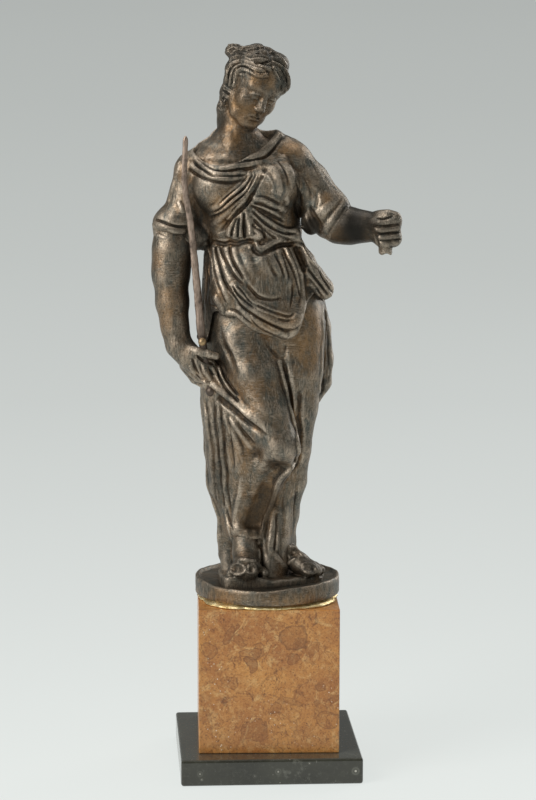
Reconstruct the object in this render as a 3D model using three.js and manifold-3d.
// A small bronze statuette of Justice on a two-part stone plinth, in millimetres, +Z up.
// The origin is the centre of the slab's underside. The figure looks towards -Y, and +X is the viewer's right.
import * as THREE from "three";
import { mergeVertices } from "three/addons/utils/BufferGeometryUtils.js";
import Module from "manifold-3d";

const wasm = await Module();
wasm.setup();

// Plinth, from the table up
const slab = { side: 62, height: 9.1, edge: 0.8 };
const block = { side: 48, height: 50.2, edge: 0.5, at: [0, 0.5], turn: -1.6 };
const ring = { radius: 23.7, height: 1.5, round: 0.5 };
const disc = { radius: 25, height: 5.2, rim: 1.4, recess: 1.2, round: 0.7, sides: 36 };
const gap = 0.3;

const blockTop = slab.height + block.height;
const discFoot = blockTop + ring.height;
const discTop = discFoot + disc.height;
const groundTop = discTop + 1.8;

// Resolution of the skins that wrap the figure's forms
const mesh = { bodyColumns: 50, frontShare: 0.68, upperRows: 45, lowerRows: 13, rowChange: 148, headColumns: 28, headRows: 18, limbColumns: 12, reach: 46, step: 0.6 };

// Body masses under the cloth: [height, centre x, centre y, half width, half depth]
const trunk = [
  [221.5, -10.5, 2, 5.6, 5.6],
  [218.4, -9.6, 1.8, 8.6, 6.4],
  [215.4, -9.4, 1.6, 12.6, 7.4],
  [211, -9, 1.2, 16.4, 9],
  [204, -8.5, 0.6, 16.8, 10.8],
  [197, -7.4, 0.5, 15.8, 11],
  [190, -6, 0.5, 15.4, 10.6],
  [184, -5, 0.5, 15.6, 10.8],
  [176, -4, 0.5, 16.4, 12.2],
  [168, -2.6, 0.5, 18.4, 13.6],
  [158, -1.5, 0.8, 20.4, 14.2],
  [148, -1.4, 1.4, 20.4, 13.6],
  [138, -2.4, 2.2, 19.8, 12.6],
  [128, -4, 2.8, 18.8, 11.8],
  [118, -4.2, 3, 17.6, 11],
  [108, -4.2, 3.2, 16.2, 10.2],
  [98, -4.4, 3.2, 15.6, 9.4],
  [92, -4.2, 3, 13.8, 8.6],
  [86, -3.6, 2.6, 11.6, 7.6],
  [80, -4, 2.4, 11.2, 7],
  [66, -4, 2.4, 10.6, 6.8],
];

// The line inside the body that its skin is cast out from
const bodyCore = [[-10, 1.6, 222], [-9, 1, 210], [-7, 0, 195], [-3, -2, 165], [-1, -3, 130], [-3, -2, 95], [-3, -2, 60]];

// Limbs and falls of cloth as chains of balls: [x, y, z, radius]
const standingLeg = [[7.5, -1, 150, 11.5], [8, -2.5, 138, 10.6], [8, -3.5, 126, 8.8], [7.4, -4, 112, 7.2], [6.8, -2, 100, 6.4], [5.4, -0.5, 88, 5], [4.8, -0.5, 78, 4.4], [4.8, -1, 70, 4.6]];
const freeLeg = [[-8, -3, 150, 11], [-4.6, -8, 138, 9.4], [-1.4, -12, 126, 8], [3, -15.6, 114.5, 6.2], [1.8, -13.4, 107, 5.4], [-3, -8.6, 95, 4.8], [-6.8, -5.6, 84, 3.9], [-7.4, -5.4, 74, 3.7]];
const handFall = [[-19.5, -7, 137, 3], [-18, -5.6, 124, 4.6], [-16.6, -3.6, 110, 4.8], [-15.6, -1.6, 98, 4.2], [-13.4, 0, 88, 2.6]];
const pulledHem = [[-19, -7.6, 136.5, 2.6], [-11, -10.4, 127, 3.4], [-3, -13.4, 119.5, 4.4]];
const backTail = [[13, 5, 166, 6], [16, 5.4, 152, 5.6], [17.8, 5.4, 141, 4.8], [18.2, 5.2, 133, 3.8], [16.6, 5, 127.6, 2]];
const hipBunch = [[8.6, -7, 184, 3], [11.4, -7, 177, 3.6], [15, -6, 170.4, 4], [18.2, -5.4, 166.8, 4]];
const collar = [[-3, 2.4, 218.4, 2.2], [2.6, 2, 217.6, 2.4], [7, 1.4, 214.6, 3]];
const underarm = [[-20, 2, 206, 6], [-22.4, 1.6, 194, 4.6], [-20.6, 1.2, 186.4, 4]];
const apronLobe = [[-12, -8, 166, 6.5], [-3, -9.5, 160.5, 7], [6, -9.5, 157.5, 6.6]];
const middleFall = [[-0.6, -8, 90, 2], [-1.8, -9.6, 80, 2.3], [-1.6, -11, 70, 2.5]];
const heelFall = [[-13.6, 2, 90, 2.6], [-14, 1, 80, 2.4], [-13.2, -1, 69, 3]];
const belly = { at: [-3, -6.5, 171.5], radii: [13, 9, 13.5] };
const breasts = [{ at: [-17, -7, 201.5], radii: [7, 6, 6.6] }, { at: [1.8, -7, 202.5], radii: [7, 6, 6.6] }];

// Arms, sleeves and neck
const neck = [[-12, 2.4, 212, 7.4], [-10.6, 1.6, 220, 6.2], [-8, 0.8, 229, 6]];
const rightSleeve = [[-19.5, 1.4, 209.5, 7], [-25, 1, 206.4, 6.4], [-27, 0.8, 199, 6], [-28.6, 0.2, 192.6, 6.2], [-32.4, -0.4, 188.2, 6.4], [-33.2, -0.6, 183.4, 6.3]];
const rightForearm = [[-33, -0.6, 186, 5], [-32.9, -1.6, 173.6, 6.3], [-32.3, -3, 162, 5.7], [-31.6, -4.6, 154, 4.6], [-30.8, -5.6, 148, 4.1]];
const rightHand = [[-30.4, -5.8, 147.6, 3.9], [-26.4, -7.6, 143.2, 4.4], [-22.4, -8.8, 138.8, 4.1], [-18.6, -9, 136.4, 2.8]];
const rightThumb = [[-27.6, -9, 146.8, 1.7], [-23.4, -11.2, 145.6, 1.5], [-19.4, -11.6, 144.4, 1.4]];
const leftSleeve = [[2, 1.4, 210.5, 7.6], [7.4, 1, 209, 7.4], [13.4, -0.4, 202, 7.4], [19.6, -2.8, 193, 7.8], [21.6, -3.6, 190.6, 7.6]];
const leftForearm = [[18, -2.6, 190.4, 6], [22.6, -4, 188.6, 5.9], [28, -6.4, 188.2, 5.6], [33.4, -8.8, 188.2, 4.6], [38.4, -11, 188.6, 3.8]];
const cuffs = [
  { at: [-33, -0.6, 185.2], along: [0.06, -0.06, -1], radius: 5.3, tube: 1.8 },
  { at: [22.6, -4, 189.4], along: [0.9, -0.42, -0.1], radius: 5.6, tube: 1.7 },
];
const leftFist = { at: [40.7, -12.2, 187], half: [4.3, 4, 5.6], round: 2.6, fingers: 4 };
const scaleStub = { at: [39.3, -12.6], radius: 2.2, foot: 177.6, top: 186, sides: 10 };

// Head: a frame turned towards the viewer's right and bowed
const head = { at: [-4.6, -1.6, 235], turn: 27, bow: 21, tilt: 12 };
const skull = { at: [0, 1.6, 2.4], radii: [8.4, 9.6, 9.2] };
const face = { at: [0, -3, -4.6], radii: [6.9, 6.6, 9] };
const chin = { at: [0, -6.4, -10], radii: [3, 2.8, 2.6] };
const nose = [[0, -8.9, 0.6, 0.9], [0, -10.9, -4, 1.3]];
const eyes = { apart: 3, at: [-8.9, -0.6], radius: 1.7, depth: 0.9 };
const mouth = [[-1.6, -9, -7.4, 0.9], [1.6, -9, -7.4, 0.9]];
const hairCap = { at: [0, 2.2, 3.4], radii: [9.9, 10.4, 9.8], browCut: 1.4 };
const hairKnots = [
  { at: [-9.8, 3.4, 245.6], radii: [3.6, 3.6, 3.2] },
  { at: [-12.6, 3.6, 247.4], radii: [2.2, 2.2, 2] },
  { at: [-12.4, -3, 237], radii: [3, 3.6, 4.2] },
  { at: [-14, -0.6, 231], radii: [2.8, 3.4, 3.6] },
  { at: [-15.2, 2, 226.4], radii: [2.7, 3, 2.8] },
  { at: [-15.4, 4, 222.6], radii: [2, 2.4, 3] },
  { at: [4.4, -3.4, 237], radii: [3.6, 3.6, 5] },
];

// Feet: heel, ball and toe as [x, y, z, radius]
const rightFoot = [[-7.6, -6, 72.4, 3.4], [-8, -12, 70.8, 3.2], [-8.2, -16.4, 69.8, 2.5]];
const rightToes = { from: [-11, -16.6, 69.6], to: [-4.6, -17.2, 69.6], radius: 1.4, count: 5 };
const leftFoot = [[5, -2.4, 73, 3.8], [10.4, -6.6, 71.4, 3.4], [15, -9.8, 70, 2.7]];
const leftToes = { from: [12.4, -12.6, 69.5], to: [18, -9.4, 69.5], radius: 1.5, count: 5 };

// Ground under the feet, an uneven cake on the disc
const ground = { at: [1.4, -4.4], half: [19, 14], wobble: 1.1, columns: 26 };

// Sword: blade, cross-guard with ball ends, grip and pommel, in one piece
const sword = {
  blade: [[-23.1, -10, 151], [-24.7, -10.2, 170], [-26.7, -10.4, 189.7], [-28.3, -10.6, 199.6], [-28.7, -10.8, 206], [-28.3, -11, 219.2]],
  hiltWidth: 2.9, tipWidth: 1.7, thick: 1.2, tip: 4,
  guardAt: [-23.1, -10, 150.4], guardHalf: 6.2, guardRadius: 0.75, ball: 1.35,
  gripTo: [-20.4, -9.8, 133.6], gripRadius: 1.25, pommel: 1.9,
};

// Folds drawn over the front, as paths of [x, z] with half width and height; a negative height is a valley
const frontFolds = [
  // scarf along the neckline, and the sash from the left shoulder to the right side of the waist
  { path: [[-26, 213.6], [-21, 208.6], [-14, 207.2], [-6, 208.2], [3, 214.6]], width: 1.7, height: 1.5 },
  { path: [[-26, 209.6], [-20, 205.4], [-12, 204.6], [-6, 206]], width: 1.5, height: 1 },
  { path: [[-1, 211], [-4, 206.4], [-10, 199.6], [-19, 191.4]], width: 1.8, height: 1.7 },
  { path: [[-6.5, 205], [-12, 200], [-19, 195.6]], width: 1.4, height: 1 },
  { path: [[-1, 206.4], [-5.4, 198.6], [-9.4, 193.4], [-16, 187.4]], width: 1.6, height: -1.3 },
  { path: [[-5, 198.8], [0, 197.6], [6, 194.8]], width: 1.4, height: 1.2 },
  { path: [[-6, 196], [0, 192.4], [6, 190], [11, 189]], width: 1.4, height: 1 },
  { path: [[-7, 194], [-2, 189.6], [4, 187], [11, 186.2]], width: 1.5, height: 1.4 },
  { path: [[-12, 192], [-14, 186.4]], width: 1.5, height: 1.2 },
  { path: [[-8.6, 193.6], [-9.6, 185.4]], width: 1.4, height: 1.3 },
  { path: [[-6.6, 192.6], [-3, 185]], width: 1.4, height: 1.2 },
  // apron, gathered towards the left hip
  { path: [[-18.4, 182], [-18, 174], [-15.6, 165]], width: 1.5, height: 1.2 },
  { path: [[-15.6, 182], [-14.6, 173], [-11, 165.6], [-5, 161]], width: 1.6, height: 1.5 },
  { path: [[-12.4, 182], [-10.4, 173.6], [-4.6, 166.4], [2, 162.4]], width: 1.6, height: 1.3 },
  { path: [[-12, 167.6], [-6, 161.6], [1, 158.2], [8, 158.4]], width: 1.5, height: 1.6 },
  { path: [[-12.6, 163.6], [-6, 158.4], [2, 154.8], [9, 155.6]], width: 1.5, height: 1.4 },
  { path: [[-3, 180], [2, 172], [6, 166]], width: 1.4, height: 0.8 },
  { path: [[3.6, 182.4], [6, 175], [8, 166], [9.4, 157]], width: 1.5, height: 1.5 },
  { path: [[8.6, 182], [10.6, 173], [11, 163]], width: 1.4, height: -1.4 },
  // skirt
  { path: [[3, 146], [4.6, 134], [6.8, 124], [8.6, 112]], width: 1.8, height: 1.4 },
  { path: [[5.6, 146], [8, 132], [10.4, 118], [11, 106]], width: 1.8, height: -1.6 },
  { path: [[-19, 136.4], [-11, 127.4], [-2, 119.6]], width: 1.7, height: 1.2 },
  { path: [[-18, 141], [-12, 131.4], [-7, 126.6]], width: 1.4, height: 0.9 },
  { path: [[-17, 131], [-11, 120], [-6, 112]], width: 1.8, height: -1.4 },
  { path: [[-21, 132], [-20.4, 116], [-18.8, 98]], width: 1.3, height: 1 },
  { path: [[-18, 132], [-17.2, 114], [-15.4, 96], [-13, 85]], width: 1.3, height: 1.2 },
  { path: [[-14.4, 124], [-13.4, 108], [-12.2, 90]], width: 1.3, height: 1.1 },
  { path: [[-11.4, 120], [-10.6, 106], [-10.4, 90]], width: 1.2, height: -1 },
  { path: [[2.6, 98], [2, 86], [1.6, 74]], width: 1.5, height: 1 },
];
// Layers of cloth: an edge as a path of [x, z], how proud the cloth above it stands, and the height where that ends
const hems = [
  { edge: [[-27, 216], [-23, 211.6], [-15, 209.8], [-5, 211.2], [0, 213.4], [5, 219]], thick: -1.4, top: 240 },
  { edge: [[-24, 184.6], [-15, 184], [-7, 185], [-3.6, 181.6], [1, 183.4], [8, 184.4], [14, 184.6]], thick: 1.5, top: 225 },
  { edge: [[-24, 161.6], [-16, 159.8], [-9, 158.4], [-3, 154.2], [5, 151.4], [10.4, 153.4], [13, 165], [24, 166]], thick: 1.7, top: 184 },
];
const foldStrength = 1.3;
const backPleats = { count: 9, height: 0.9, from: 182, to: 70 };

// Distance helpers

const clamp = THREE.MathUtils.clamp;
const length = Math.hypot;

// The nearer of two distances, rounded where they meet over k millimetres
function blend(a, b, k) {
  const h = Math.max(k - Math.abs(a - b), 0) / k;
  return Math.min(a, b) - (h * h * k) / 4;
}

// Distance to a chain of balls joined by tapering sticks
function chain(p, balls, k = 1) {
  let d = Infinity;
  for (let i = 0; i + 1 < balls.length; i++) {
    const [ax, ay, az, ar] = balls[i];
    const [bx, by, bz, br] = balls[i + 1];
    const [ux, uy, uz] = [bx - ax, by - ay, bz - az];
    const t = clamp(((p[0] - ax) * ux + (p[1] - ay) * uy + (p[2] - az) * uz) / (ux * ux + uy * uy + uz * uz), 0, 1);
    const stick = length(p[0] - ax - ux * t, p[1] - ay - uy * t, p[2] - az - uz * t) - (ar + (br - ar) * t);
    d = d === Infinity ? stick : blend(d, stick, k);
  }
  return d;
}

function ellipsoid(p, { at, radii }) {
  const q = p.map((v, i) => (v - at[i]) / radii[i]);
  const slope = length(...q.map((v, i) => v / radii[i]));
  const size = length(...q);
  return slope < 1e-9 ? -Math.min(...radii) : (size * (size - 1)) / slope;
}

function roundBox(p, { at, half, round }) {
  const q = p.map((v, i) => Math.abs(v - at[i]) - half[i] + round);
  return length(...q.map((v) => Math.max(v, 0))) + Math.min(Math.max(...q), 0) - round;
}

// Distance to the stack of elliptical sections
function stack(p, sections) {
  const z = clamp(p[2], sections.at(-1)[0], sections[0][0]);
  let i = 0;
  while (i < sections.length - 2 && z < sections[i + 1][0]) i++;
  const [a, b] = [sections[i], sections[i + 1]];
  const t = (a[0] - z) / (a[0] - b[0]);
  const s = t * t * (3 - 2 * t) * 0.5 + t * 0.5;
  const [cx, cy, rx, ry] = [1, 2, 3, 4].map((n) => a[n] + (b[n] - a[n]) * s);
  const [qx, qy] = [(p[0] - cx) / rx, (p[1] - cy) / ry];
  const size = length(qx, qy);
  const slope = length(qx / rx, qy / ry);
  const side = slope < 1e-9 ? -Math.min(rx, ry) : (size * (size - 1)) / slope;
  return Math.max(side, p[2] - sections[0][0], sections.at(-1)[0] - p[2]);
}

// Folds

// A smooth curve through a path of [x, z] points, as short straight steps
function steps(path, perSpan = 6) {
  const curve = new THREE.CatmullRomCurve3(path.map(([x, z]) => new THREE.Vector3(x, 0, z)));
  return curve.getPoints(perSpan * (path.length - 1)).map((v) => [v.x, v.z]);
}

// How far the point lies from a stepped curve, and how far along it that is, 0 to 1
function along(x, z, curve) {
  let best = { distance: Infinity, at: 0 };
  for (let i = 0; i + 1 < curve.length; i++) {
    const [ax, az] = curve[i];
    const [ux, uz] = [curve[i + 1][0] - ax, curve[i + 1][1] - az];
    const t = clamp(((x - ax) * ux + (z - az) * uz) / (ux * ux + uz * uz), 0, 1);
    const distance = length(x - ax - ux * t, z - az - uz * t);
    if (distance < best.distance) best = { distance, at: (i + t) / (curve.length - 1) };
  }
  return best;
}

// A soft step from 0 at the first value to 1 at the second, whichever is larger
function smooth(from, to, v) {
  const t = clamp((v - from) / (to - from), 0, 1);
  return t * t * (3 - 2 * t);
}


const foldCurves = frontFolds.map((fold) => ({ ...fold, curve: steps(fold.path) }));
const hemCurves = hems.map((hem) => ({ ...hem, curve: steps(hem.edge) }));

// The height of a hem's edge at this x
function edgeHeight(curve, x) {
  const i = clamp(curve.findIndex(([cx]) => cx > x), 1, curve.length - 1);
  const [[ax, az], [bx, bz]] = [curve[i - 1], curve[i]];
  return az + ((bz - az) * clamp(x - ax, 0, bx - ax)) / (bx - ax);
}

// How far the cloth stands out from the masses at a point of the body
function clothRelief([x, y, z]) {
  const front = smooth(4, -3, y);
  let out = 0;
  for (const { curve, width, height } of foldCurves) {
    const { distance, at } = along(x, z, curve);
    const ends = Math.min(1, at * 5, (1 - at) * 5);
    out += front * foldStrength * height * (0.35 + 0.65 * ends) * Math.exp(-((distance / width) ** 2));
  }
  for (const { curve, thick, top } of hemCurves)
    out += thick * smooth(-0.4, 0.7, z - edgeHeight(curve, x)) * (1 - smooth(top - 3, top, z));
  const turn = Math.atan2(x + 3, y);
  const behind = smooth(0, 7, y) * smooth(backPleats.from, backPleats.from - 14, z) * smooth(backPleats.to - 6, backPleats.to, z);
  out += behind * backPleats.height * Math.cos(turn * backPleats.count + 0.05 * (z - 120) + Math.sin(turn * 3));
  return out;
}

// Forms

function bodyField(p) {
  let d = stack(p, trunk);
  d = blend(d, ellipsoid(p, belly), 5);
  for (const breast of breasts) d = blend(d, ellipsoid(p, breast), 4);
  d = blend(d, chain(p, apronLobe), 4);
  d = blend(d, chain(p, standingLeg), 3);
  d = blend(d, chain(p, freeLeg), 2.5);
  for (const fall of [handFall, pulledHem, underarm]) d = blend(d, chain(p, fall), 4);
  for (const fall of [backTail, hipBunch, middleFall, heelFall, collar]) d = blend(d, chain(p, fall), 2);
  return d;
}

// The head's own axes, as columns
const headFrame = new THREE.Matrix4()
  .makeTranslation(...head.at)
  .multiply(new THREE.Matrix4().makeRotationZ(THREE.MathUtils.degToRad(head.turn)))
  .multiply(new THREE.Matrix4().makeRotationX(THREE.MathUtils.degToRad(head.bow)))
  .multiply(new THREE.Matrix4().makeRotationY(THREE.MathUtils.degToRad(head.tilt)));
const intoHead = headFrame.clone().invert();

function headField(p) {
  const q = new THREE.Vector3(...p).applyMatrix4(intoHead).toArray();
  let d = blend(ellipsoid(q, skull), ellipsoid(q, face), 3);
  d = blend(d, ellipsoid(q, chin), 2.5);
  d = blend(d, chain(q, nose), 1);
  d = blend(d, chain(q, mouth), 0.8);
  for (const side of [-1, 1]) {
    const socket = length(q[0] - side * eyes.apart, q[1] - eyes.at[0] - 0.6, (q[2] - eyes.at[1]) * 1.4) - eyes.radius;
    d = Math.max(d, -blend(socket, 9, 1));
  }
  const hair = Math.max(ellipsoid(q, hairCap), hairCap.browCut - (q[2] - 3.4 + (q[1] + 6) * 0.8));
  d = blend(d, hair, 1.2);
  for (const knot of hairKnots) d = blend(d, ellipsoid(p, knot), 1.6);
  return d;
}

function toesField(p, { from, to, radius, count }) {
  let d = Infinity;
  for (let i = 0; i < count; i++) {
    const t = i / (count - 1);
    const at = from.map((v, n) => v + (to[n] - v) * t);
    const toe = ellipsoid(p, { at, radii: [radius * 0.8, radius * 1.5, radius] });
    d = Math.min(d, toe);
  }
  return d;
}

// Skins: a closed three.js geometry whose vertices are cast outwards onto a form

// The outermost distance from a spine point, along a direction, at which the field is still inside
function castOut(field, from, direction, relief) {
  const at = (r) => from.map((v, i) => v + direction[i] * r);
  let r = mesh.reach;
  while (r > 0 && field(at(r)) > 0) r -= mesh.step;
  let [low, high] = [Math.max(r, 0), r + mesh.step];
  for (let i = 0; i < 8; i++) {
    const mid = (low + high) / 2;
    if (field(at(mid)) > 0) high = mid;
    else low = mid;
  }
  const hit = at(low);
  return relief ? at(low + relief(hit)) : hit;
}

function solidOf(geometry) {
  const bare = geometry.clone();
  for (const name of ["normal", "uv"]) bare.deleteAttribute(name);
  const merged = mergeVertices(bare, 1e-4);
  return new wasm.Manifold(
    new wasm.Mesh({
      numProp: 3,
      vertProperties: merged.attributes.position.array,
      triVerts: new Uint32Array(merged.index.array),
    }),
  );
}

// Wraps a form with rings along a spine curve, closed by a point at each end
function wrap(field, spine, columns, rows, relief, turnOf = (share) => share * 2 * Math.PI) {
  const tube = new THREE.CylinderGeometry(1, 1, 1, columns, rows);
  const frames = spine.computeFrenetFrames(rows, false);
  const position = tube.attributes.position;
  const cache = new Map();
  for (let i = 0; i < position.count; i++) {
    const [x, y, z] = [position.getX(i), position.getY(i), position.getZ(i)];
    const row = Math.round((0.5 - y) * rows);
    const middle = length(x, z) < 0.5;
    const column = Math.round((Math.atan2(z, x) / (2 * Math.PI)) * columns + columns) % columns;
    const key = middle ? `end ${row}` : `${row} ${column}`;
    if (!cache.has(key)) {
      const centre = spine.getPointAt(row / rows).toArray();
      const turn = turnOf(column / columns);
      const out = frames.normals[row].clone().multiplyScalar(Math.cos(turn));
      out.addScaledVector(frames.binormals[row], Math.sin(turn));
      cache.set(key, middle ? centre : castOut(field, centre, out.toArray(), relief));
    }
    position.setXYZ(i, ...cache.get(key));
  }
  return tube;
}

function spineOf(points) {
  return new THREE.CatmullRomCurve3(points.map(([x, y, z]) => new THREE.Vector3(x, y, z)));
}

// A limb wrapped along its own chain of balls, with rounded ends
function limb(balls, rows, columns = mesh.limbColumns, field = (p) => chain(p, balls)) {
  const [first, last] = [balls[0], balls.at(-1)];
  const [second, beforeLast] = [balls[1], balls.at(-2)];
  const past = (a, b) => {
    const away = new THREE.Vector3(a[0] - b[0], a[1] - b[1], a[2] - b[2]).setLength(a[3] * 0.9);
    return [a[0] + away.x, a[1] + away.y, a[2] + away.z];
  };
  return wrap(field, spineOf([past(first, second), ...balls, past(last, beforeLast)]), columns, rows);
}

// The body's skin: level rings, closer together above the apron's hem, so that hems stay level too
function bodySolid() {
  const { bodyColumns, frontShare, upperRows, lowerRows, rowChange } = mesh;
  const [top, foot] = [trunk[0][0] - 0.3, groundTop - 1.2];
  const heights = Array.from({ length: upperRows + lowerRows + 1 }, (_, row) =>
    row < upperRows ? top + ((rowChange - top) * row) / upperRows : rowChange + ((foot - rowChange) * (row - upperRows)) / lowerRows,
  );
  const core = bodyCore.map(([x, y, z]) => new THREE.Vector3(x, y, z));
  const centreAt = (z) => {
    const i = clamp(core.findIndex((point) => point.z < z) - 1, 0, core.length - 2);
    return core[i].clone().lerp(core[i + 1], clamp((core[i].z - z) / (core[i].z - core[i + 1].z), 0, 1)).setZ(z);
  };
  const crowded = (t) => (t < frontShare ? t / frontShare : 1 + (t - frontShare) / (1 - frontShare)) * Math.PI;
  const spine = { getPointAt: (t) => centreAt(heights[Math.round(t * (heights.length - 1))]), computeFrenetFrames: levelFrames };
  return solidOf(wrap(bodyField, spine, bodyColumns, heights.length - 1, clothRelief, crowded));
}

function levelFrames(rows) {
  const normals = Array.from({ length: rows + 1 }, () => new THREE.Vector3(1, 0, 0));
  const binormals = Array.from({ length: rows + 1 }, () => new THREE.Vector3(0, -1, 0));
  return { normals, binormals };
}

function headSolid() {
  const ball = new THREE.SphereGeometry(1, mesh.headColumns, mesh.headRows);
  const position = ball.attributes.position;
  const cache = new Map();
  const centre = new THREE.Vector3(0, 1, 1).applyMatrix4(headFrame).toArray();
  for (let i = 0; i < position.count; i++) {
    const local = new THREE.Vector3(position.getX(i), -position.getZ(i), position.getY(i));
    const key = local.toArray().map((v) => v.toFixed(4)).join(" ").replaceAll("-0.0000", "0.0000");
    if (!cache.has(key)) {
      const out = local.transformDirection(headFrame).toArray();
      cache.set(key, castOut(headField, centre, out));
    }
    position.setXYZ(i, ...cache.get(key));
  }
  return solidOf(ball);
}

function cuffSolid({ at, along: axis, radius, tube }) {
  const turn = new THREE.Quaternion().setFromUnitVectors(new THREE.Vector3(0, 0, 1), new THREE.Vector3(...axis).normalize());
  return solidOf(new THREE.TorusGeometry(radius, tube, 6, 14).applyQuaternion(turn).translate(...at));
}

function fistSolid() {
  const knuckles = (p) => {
    const { at, half, fingers } = leftFist;
    const row = ((p[2] - at[2] + half[2]) / (2 * half[2])) * fingers;
    return roundBox(p, leftFist) + 0.45 * smooth(2, -2, p[1] - at[1]) * Math.cos(row * 2 * Math.PI);
  };
  const [x, y, z] = leftFist.at;
  const rise = leftFist.half[2] - 0.3;
  return solidOf(wrap(knuckles, spineOf([[x, y, z + rise], [x, y, z], [x, y, z - rise]]), 14, 12));
}

// A shape turned about a vertical axis from a profile of [radius, height]
function turned(profile, sides) {
  const lathe = new THREE.LatheGeometry(profile.map(([r, h]) => new THREE.Vector2(r, h)), sides);
  return lathe.rotateX(Math.PI / 2);
}

function discSolid() {
  const { radius, round, rim, recess, sides } = disc;
  const floor = discTop - recess;
  return solidOf(turned([
    [0, discFoot], [radius - round, discFoot], [radius, discFoot + round], [radius, discTop - round],
    [radius - round, discTop], [radius - rim, discTop - 0.2], [radius - rim - 0.3, floor], [0, floor],
  ], sides));
}

function groundSolid() {
  const { at, half, wobble, columns } = ground;
  const edge = Array.from({ length: columns }, (_, i) => {
    const turn = (i / columns) * 2 * Math.PI;
    const grow = 1 + (wobble / half[0]) * (Math.sin(turn * 3 + 1) + 0.6 * Math.sin(turn * 7));
    return new THREE.Vector2(at[0] + half[0] * grow * Math.cos(turn), at[1] + half[1] * grow * Math.sin(turn));
  });
  const cake = new THREE.ExtrudeGeometry(new THREE.Shape(edge), { depth: groundTop - discFoot - 2, bevelEnabled: false });
  return solidOf(cake.translate(0, 0, discFoot + 2));
}

function rod(from, to, radius, sides = 10) {
  const [a, b] = [new THREE.Vector3(...from), new THREE.Vector3(...to)];
  const geometry = new THREE.CylinderGeometry(radius, radius, a.distanceTo(b), sides);
  const turn = new THREE.Quaternion().setFromUnitVectors(new THREE.Vector3(0, 1, 0), b.clone().sub(a).normalize());
  return geometry.applyQuaternion(turn).translate(...a.add(b).multiplyScalar(0.5).toArray());
}

function swordSolid(grow = 0) {
  const { blade, hiltWidth, tipWidth, thick, tip, guardAt, guardHalf, guardRadius, ball, gripTo, gripRadius, pommel } = sword;
  const half = { w: hiltWidth / 2 + grow, t: thick / 2 + grow };
  const corners = [[0, -half.w], [half.t, 0], [0, half.w], [-half.t, 0]];
  const section = new THREE.Shape(corners.map(([x, y]) => new THREE.Vector2(x, y)));
  const path = spineOf(blade);
  const bladeGeometry = new THREE.ExtrudeGeometry(section, { steps: 14, bevelEnabled: false, extrudePath: path });
  const position = bladeGeometry.attributes.position;
  const [foot, top] = [blade[0][2], blade.at(-1)[2]];
  for (let i = 0; i < position.count; i++) {
    const rise = clamp((position.getZ(i) - foot) / (top - foot), 0, 1);
    const taper = 1 + (tipWidth / hiltWidth - 1) * rise;
    const share = Math.min(taper, Math.max(0.25, (top - position.getZ(i)) / tip));
    const centre = path.getPointAt(rise);
    position.setX(i, centre.x + (position.getX(i) - centre.x) * share);
  }
  const [gx, gy, gz] = guardAt;
  const parts = [
    solidOf(rod([gx, gy - guardHalf, gz], [gx, gy + guardHalf, gz], guardRadius + grow)),
    solidOf(rod([gx, gy, gz + 1.5], gripTo, gripRadius + grow)),
    ...[-1, 1].map((s) => solidOf(new THREE.SphereGeometry(ball + grow, 10, 6).translate(gx, gy + s * guardHalf, gz))),
    solidOf(new THREE.SphereGeometry(pommel + grow, 10, 6).translate(...gripTo)),
  ];
  return parts.reduce((all, part) => all.add(part), solidOf(bladeGeometry));
}

function figureSolid() {
  const footSolid = (balls, toes) => solidOf(limb(balls, 8, 12, (p) => blend(chain(p, balls), toesField(p, toes), 0.8)));
  const stub = solidOf(rod([...scaleStub.at, scaleStub.foot], [...scaleStub.at, scaleStub.top], scaleStub.radius, scaleStub.sides));
  const parts = [
    headSolid(), solidOf(limb(neck, 5, 16)),
    solidOf(limb(rightSleeve, 14, 14)), solidOf(limb(rightForearm, 9, 14)),
    solidOf(limb(rightHand, 8)), solidOf(limb(rightThumb, 5, 8)),
    solidOf(limb(leftSleeve, 12, 16)), solidOf(limb(leftForearm, 8, 14)),
    fistSolid(), stub, ...cuffs.map(cuffSolid),
    footSolid(rightFoot, rightToes), footSolid(leftFoot, leftToes),
    groundSolid(), discSolid(),
  ];
  const casting = parts.reduce((all, part) => all.add(part), bodySolid()).subtract(swordSolid(gap));
  // Slivers left where surfaces cross are dropped
  return casting.decompose().sort((a, b) => b.volume() - a.volume())[0];
}

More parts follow.
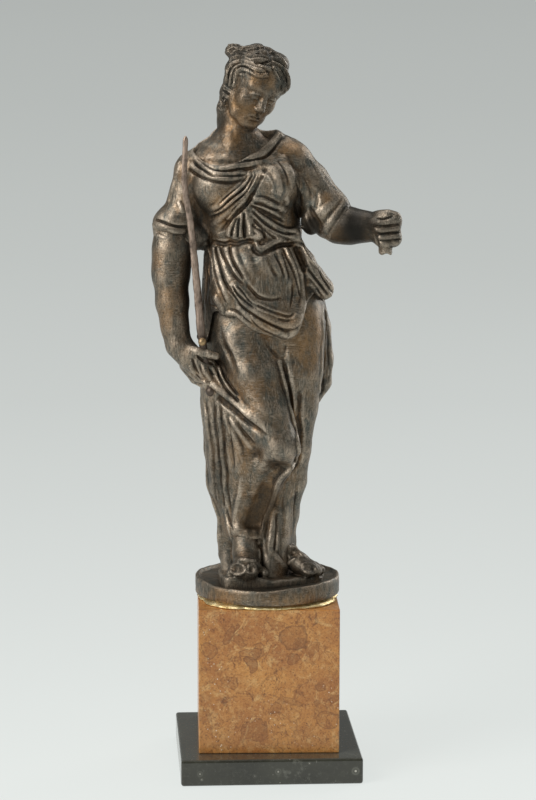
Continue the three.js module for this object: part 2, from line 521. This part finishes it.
function stoneBlock(side, height, edge) {
  const s = side / 2 - edge;
  const square = new THREE.Shape([[-s, -s], [s, -s], [s, s], [-s, s]].map(([x, y]) => new THREE.Vector2(x, y)));
  const options = { depth: height - 2 * edge, bevelEnabled: true, bevelThickness: edge, bevelSize: edge, bevelSegments: 2 };
  return new THREE.ExtrudeGeometry(square, options).translate(0, 0, edge);
}

function turnedBlock() {
  const [x, y] = block.at;
  const turn = THREE.MathUtils.degToRad(block.turn);
  return stoneBlock(block.side, block.height, block.edge).rotateZ(turn).translate(x, y, 0);
}

function ringGeometry() {
  const { radius, height, round } = ring;
  return turned([[0, 0], [radius, 0], [radius + round, height / 2], [radius, height], [0, height]], disc.sides);
}

function geometryOf(solid) {
  const { vertProperties, triVerts } = solid.getMesh();
  const geometry = new THREE.BufferGeometry();
  geometry.setAttribute("position", new THREE.BufferAttribute(vertProperties, 3));
  geometry.setIndex(new THREE.BufferAttribute(triVerts, 1));
  geometry.computeVertexNormals();
  return geometry;
}

const bronze = new THREE.MeshStandardMaterial({ color: 0x4a3a2c, roughness: 0.38, metalness: 0.9 });
const paleBronze = new THREE.MeshStandardMaterial({ color: 0x7a6453, roughness: 0.42, metalness: 0.9 });
const gilding = new THREE.MeshStandardMaterial({ color: 0xb8923f, roughness: 0.4, metalness: 1 });
const yellowMarble = new THREE.MeshStandardMaterial({ color: 0xa8703f, roughness: 0.35, metalness: 0 });
const blackStone = new THREE.MeshStandardMaterial({ color: 0x3a3e3b, roughness: 0.45, metalness: 0 });

function piece(name, geometry, material, height = 0) {
  const made = new THREE.Mesh(geometry, material);
  made.name = name;
  made.position.z = height;
  return made;
}

const statue = new THREE.Group();
statue.add(
  piece("slab", stoneBlock(slab.side, slab.height, slab.edge), blackStone),
  piece("marble_block", turnedBlock(), yellowMarble, slab.height),
  piece("gilt_ring", ringGeometry(), gilding, blockTop),
  piece("figure", geometryOf(figureSolid()), bronze),
  piece("sword", geometryOf(swordSolid()), paleBronze),
);

export default statue;
